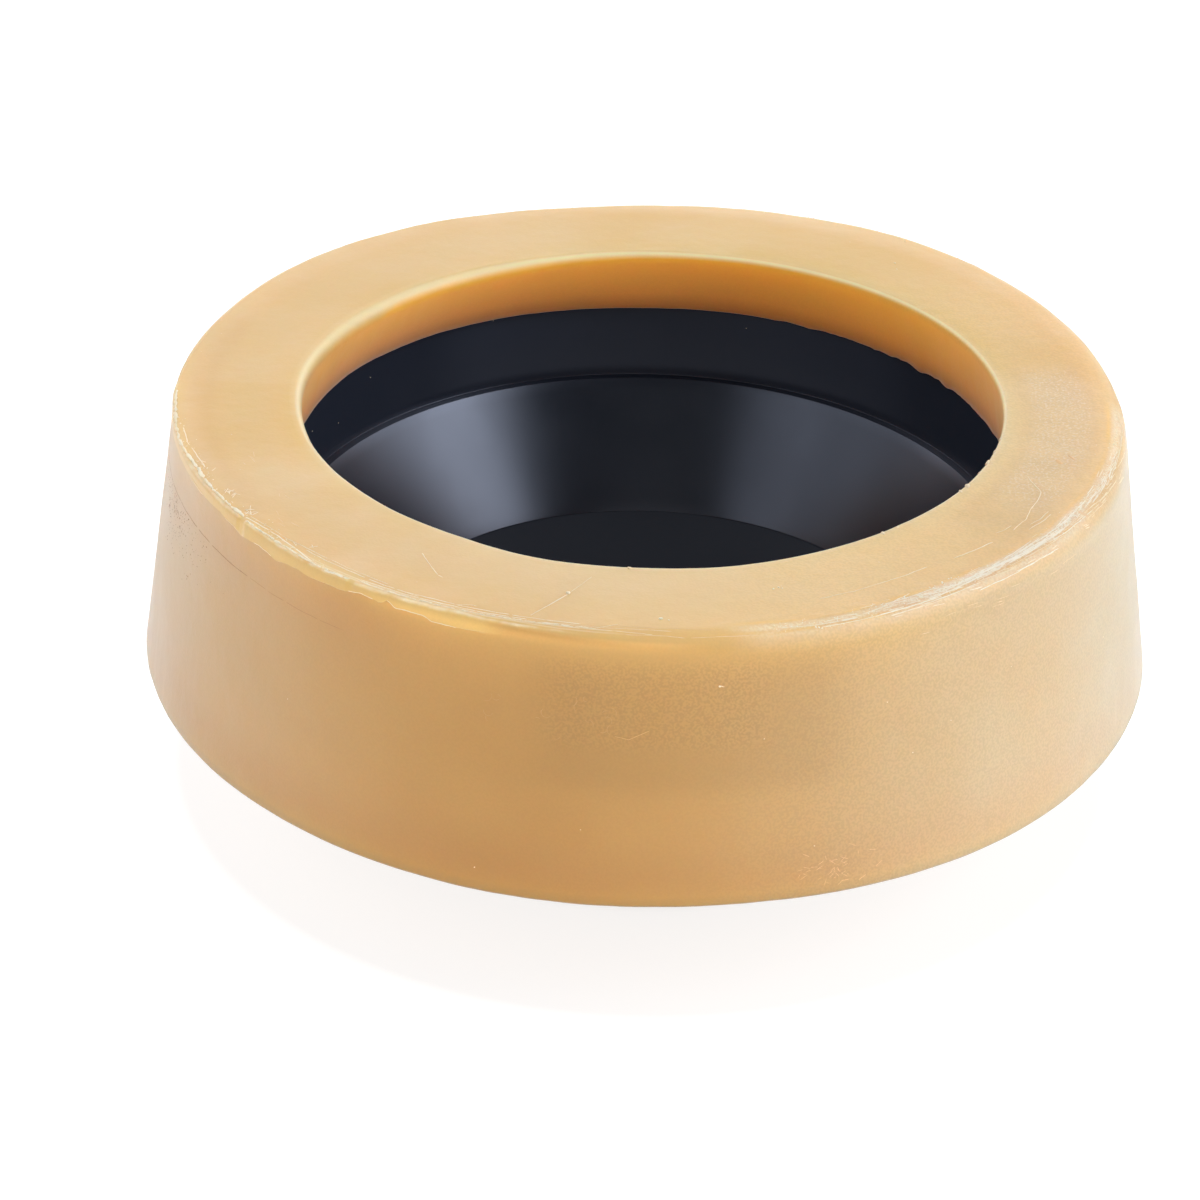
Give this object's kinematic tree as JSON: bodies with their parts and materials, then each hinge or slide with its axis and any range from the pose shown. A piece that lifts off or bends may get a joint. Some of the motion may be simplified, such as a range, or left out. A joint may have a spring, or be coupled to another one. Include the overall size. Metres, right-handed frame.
{
  "type": "toilet pan seal",
  "caption": "Thick tapered wax ring with a black plastic funnel cast into it, which seals a floor-standing pan's outlet to the drain below.",
  "frame": {"origin": "centre of the horn's lower rim, which the seal stands on", "axes": "+Z along the axis of both pieces, from the drain towards the pan; the seal is round about it, so +X and +Y are free"},
  "size_m": [0.1272, 0.1272, 0.0507],
  "materials": {
    "wax": "yellow-tan cast wax, softly glossy, slightly translucent, with mould flash, scratches and a frosty bloom",
    "black_plastic": "black moulded polyethylene, smooth and glossy"
  },
  "bodies": {
    "root": {"wax_ring": "wax", "horn": "black_plastic"}
  },
  "joints": []
}
